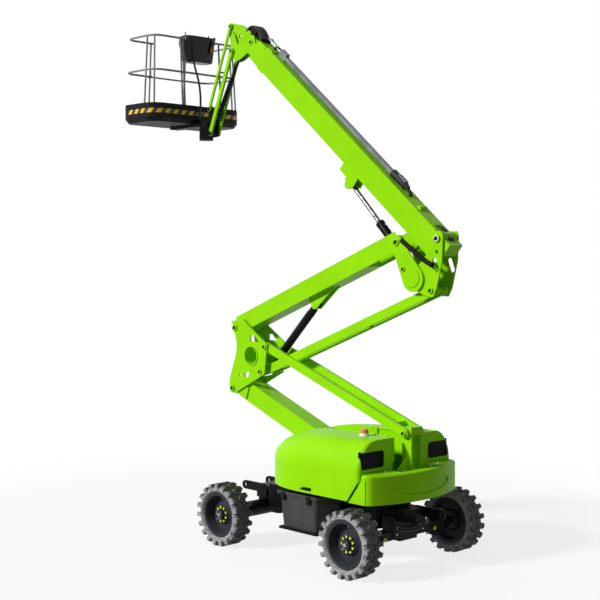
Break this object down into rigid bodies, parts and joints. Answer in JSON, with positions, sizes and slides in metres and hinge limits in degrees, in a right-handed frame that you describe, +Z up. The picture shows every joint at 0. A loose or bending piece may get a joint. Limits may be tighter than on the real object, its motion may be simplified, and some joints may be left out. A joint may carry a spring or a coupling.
{
  "type": "articulating boom lift",
  "caption": "Self-propelled articulating boom lift with a folding riser, telescopic main boom, jib and guarded work platform.",
  "frame": {"origin": "on the ground under the middle of the machine's box", "axes": "+X along the chassis towards the end the boom reaches over, +Y to the machine's left, +Z up"},
  "size_m": [5.8019, 2.27, 7.3426],
  "materials": {
    "lime_paint": "gloss",
    "black_paint": "satin",
    "tyre_grey": "matte",
    "rim_charcoal": "satin",
    "black_plastic": "matte",
    "rail_steel": "satin",
    "rod_chrome": "polished",
    "cast_block": "matte",
    "beacon_amber": "gloss",
    "hose_grey": "satin",
    "lime_shell": "gloss"
  },
  "bodies": {
    "chassis": {"chassis": "black_paint", "drive_axle": "black_paint", "steer_axle": "black_paint", "tub_left": "black_plastic", "tub_right": "black_plastic"},
    "knuckle_left": {"knuckle_left": "black_paint"},
    "knuckle_right": {"knuckle_right": "black_paint"},
    "track_rod": {"track_rod": "black_paint"},
    "wheel_drive_left": {"rim_drive_left": "rim_charcoal", "tyre_drive_left": "tyre_grey"},
    "wheel_drive_right": {"rim_drive_right": "rim_charcoal", "tyre_drive_right": "tyre_grey"},
    "wheel_steer_left": {"rim_steer_left": "rim_charcoal", "tyre_steer_left": "tyre_grey"},
    "wheel_steer_right": {"rim_steer_right": "rim_charcoal", "tyre_steer_right": "tyre_grey"},
    "turret": {"turret": "lime_paint", "counterweight": "lime_paint", "engine": "cast_block"},
    "hood_left": {"hood_left": "lime_shell", "beacon": "beacon_amber"},
    "hood_right": {"hood_right": "lime_shell"},
    "boom_lower": {"boom_lower": "lime_paint"},
    "link_lower": {"link_lower": "lime_paint"},
    "knuckle_mid": {"knuckle_mid": "lime_paint"},
    "boom_riser": {"boom_riser": "lime_paint"},
    "link_riser": {"link_riser": "lime_paint"},
    "knuckle_top": {"knuckle_top": "lime_paint"},
    "riser_barrel": {"riser_barrel": "black_paint"},
    "riser_rod": {"riser_rod": "rod_chrome"},
    "main_boom": {"main_boom": "lime_paint", "hose_tube": "hose_grey"},
    "lift_barrel": {"lift_barrel": "black_paint"},
    "lift_rod": {"lift_rod": "rod_chrome"},
    "inner_boom": {"inner_boom": "lime_paint"},
    "jib_head": {"jib_head": "lime_paint"},
    "jib_arms": {"jib_arms": "lime_paint"},
    "jib_tie": {"jib_tie": "lime_paint"},
    "jib_foot": {"jib_foot": "black_paint"},
    "jib_barrel": {"jib_barrel": "black_paint"},
    "jib_rod": {"jib_rod": "rod_chrome"},
    "platform": {"platform_base": "black_plastic", "guard_rails": "rail_steel", "console": "black_plastic"},
    "gate": {"gate_bar": "rail_steel"}
  },
  "joints": [
    {"name": "steer_left", "type": "hinge", "parent": "chassis", "child": "knuckle_left", "pos_m": [-2.057, 0.73, 0.42], "axis": [0, 0, 1], "range_deg": [-24, 24]},
    {"name": "spin_drive_left", "type": "hinge", "parent": "chassis", "child": "wheel_drive_left", "pos_m": [0.303, 0.99, 0.42], "axis": [0, 1, 0], "continuous": true},
    {"name": "spin_steer_left", "type": "hinge", "parent": "knuckle_left", "child": "wheel_steer_left", "pos_m": [-2.057, 0.99, 0.42], "axis": [0, 1, 0], "continuous": true},
    {"name": "steer_right", "type": "hinge", "parent": "chassis", "child": "knuckle_right", "pos_m": [-2.057, -0.73, 0.42], "axis": [0, 0, 1], "range_deg": [-24.3, 24.3]},
    {"name": "spin_drive_right", "type": "hinge", "parent": "chassis", "child": "wheel_drive_right", "pos_m": [0.303, -0.99, 0.42], "axis": [0, 1, 0], "continuous": true},
    {"name": "spin_steer_right", "type": "hinge", "parent": "knuckle_right", "child": "wheel_steer_right", "pos_m": [-2.057, -0.99, 0.42], "axis": [0, 1, 0], "continuous": true},
    {"name": "track_shift", "type": "slide", "parent": "chassis", "child": "track_rod", "axis": [0, 1, 0], "range_m": [-0.07153, 0.07153]},
    {"name": "slew", "type": "hinge", "parent": "chassis", "child": "turret", "pos_m": [-0.877, 0, 0.878], "axis": [0, 0, 1], "range_deg": [-177.5, 177.5]},
    {"name": "hood_left_lift", "type": "hinge", "parent": "turret", "child": "hood_left", "pos_m": [-0.877, 0.232, 1.64], "axis": [1, 0, 0], "range_deg": [0, 60]},
    {"name": "hood_right_lift", "type": "hinge", "parent": "turret", "child": "hood_right", "pos_m": [-0.877, -0.232, 1.64], "axis": [-1, 0, 0], "range_deg": [0, 60]},
    {"name": "riser_lift", "type": "hinge", "parent": "turret", "child": "boom_lower", "pos_m": [-1.50847, 0, 1.06388], "axis": [0, -1, 0], "range_deg": [-14, 38]},
    {"name": "link_lower_turn", "type": "hinge", "parent": "turret", "child": "link_lower", "pos_m": [-2.18847, 0, 1.69388], "axis": [0, -1, 0], "range_deg": [-14.3, 38.3]},
    {"name": "knuckle_mid_level", "type": "hinge", "parent": "boom_lower", "child": "knuckle_mid", "pos_m": [1.063, 0, 2.01], "axis": [0, -1, 0], "range_deg": [-38.3, 14.3]},
    {"name": "riser_turn", "type": "hinge", "parent": "knuckle_mid", "child": "boom_riser", "pos_m": [1.013, 0, 2.885], "axis": [0, 1, 0], "range_deg": [-14.3, 38.3]},
    {"name": "link_riser_turn", "type": "hinge", "parent": "knuckle_mid", "child": "link_riser", "pos_m": [0.473, 0, 2.285], "axis": [0, 1, 0], "range_deg": [-14.3, 38.3]},
    {"name": "knuckle_top_level", "type": "hinge", "parent": "boom_riser", "child": "knuckle_top", "pos_m": [-2.08742, 0, 4.10004], "axis": [0, 1, 0], "range_deg": [-38.3, 14.3]},
    {"name": "riser_barrel_turn", "type": "hinge", "parent": "boom_riser", "child": "riser_barrel", "pos_m": [-0.48818, 0, 3.25312], "axis": [0, -1, 0], "range_deg": [-2.1, 5.18]},
    {"name": "riser_rod_slide", "type": "slide", "parent": "riser_barrel", "child": "riser_rod", "axis": [0.7046, 0, -0.7096], "range_m": [-0.19024, 0.51294]},
    {"name": "main_lift", "type": "hinge", "parent": "knuckle_top", "child": "main_boom", "pos_m": [-2.72742, 0, 4.14004], "axis": [0, -1, 0], "range_deg": [-16, 35]},
    {"name": "lift_barrel_turn", "type": "hinge", "parent": "knuckle_top", "child": "lift_barrel", "pos_m": [-2.20742, 0, 3.76004], "axis": [0, -1, 0], "range_deg": [-15.96, 34.55]},
    {"name": "lift_rod_slide", "type": "slide", "parent": "lift_barrel", "child": "lift_rod", "axis": [0.6901, 0, 0.7237], "range_m": [-0.17886, 0.38889]},
    {"name": "telescope", "type": "slide", "parent": "main_boom", "child": "inner_boom", "axis": [0.7604, 0, 0.6494], "range_m": [0, 2.6]},
    {"name": "head_level", "type": "hinge", "parent": "inner_boom", "child": "jib_head", "pos_m": [0.81374, 0, 7.01061], "axis": [0, -1, 0], "range_deg": [-35.3, 16.3]},
    {"name": "jib_lift", "type": "hinge", "parent": "jib_head", "child": "jib_arms", "pos_m": [1.21374, 0, 6.93061], "axis": [0, -1, 0], "range_deg": [-2, 110]},
    {"name": "jib_tie_turn", "type": "hinge", "parent": "jib_head", "child": "jib_tie", "pos_m": [1.24174, 0, 7.29461], "axis": [0, -1, 0], "range_deg": [-2.3, 110.3]},
    {"name": "jib_foot_level", "type": "hinge", "parent": "jib_arms", "child": "jib_foot", "pos_m": [1.70051, 0, 5.75543], "axis": [0, -1, 0], "range_deg": [-110.3, 2.3]},
    {"name": "jib_barrel_turn", "type": "hinge", "parent": "jib_arms", "child": "jib_barrel", "pos_m": [1.59642, 0, 6.00673], "axis": [0, -1, 0], "range_deg": [-4.65, 0.38]},
    {"name": "jib_rod_slide", "type": "slide", "parent": "jib_barrel", "child": "jib_rod", "axis": [-0.5022, 0, 0.8647], "range_m": [-0.00621, 0.23378]},
    {"name": "platform_turn", "type": "hinge", "parent": "jib_foot", "child": "platform", "pos_m": [1.89051, 0, 5.92043], "axis": [0, 0, 1], "range_deg": [-85, 85]},
    {"name": "gate_lift", "type": "slide", "parent": "platform", "child": "gate", "axis": [0, 0, 1], "range_m": [0, 0.35]}
  ],
  "couplings": [
    {"joint": "steer_right", "follows": "steer_left", "ratio": 1},
    {"joint": "track_shift", "follows": "steer_left", "m_per_rad": 0.166},
    {"joint": "link_lower_turn", "follows": "riser_lift", "ratio": 1},
    {"joint": "knuckle_mid_level", "follows": "riser_lift", "ratio": -1},
    {"joint": "riser_turn", "follows": "riser_lift", "ratio": 1},
    {"joint": "link_riser_turn", "follows": "riser_lift", "ratio": 1},
    {"joint": "knuckle_top_level", "follows": "riser_lift", "ratio": -1},
    {"joint": "riser_barrel_turn", "follows": "riser_lift", "ratio": 0.12853},
    {"joint": "riser_rod_slide", "follows": "riser_lift", "m_per_rad": 0.77039},
    {"joint": "lift_barrel_turn", "follows": "main_lift", "ratio": 0.97866},
    {"joint": "lift_rod_slide", "follows": "main_lift", "m_per_rad": 0.63334},
    {"joint": "head_level", "follows": "main_lift", "ratio": -1},
    {"joint": "jib_tie_turn", "follows": "jib_lift", "ratio": 1},
    {"joint": "jib_foot_level", "follows": "jib_lift", "ratio": -1},
    {"joint": "jib_barrel_turn", "follows": "jib_lift", "ratio": -0.039567},
    {"joint": "jib_rod_slide", "follows": "jib_lift", "m_per_rad": 0.12073}
  ]
}
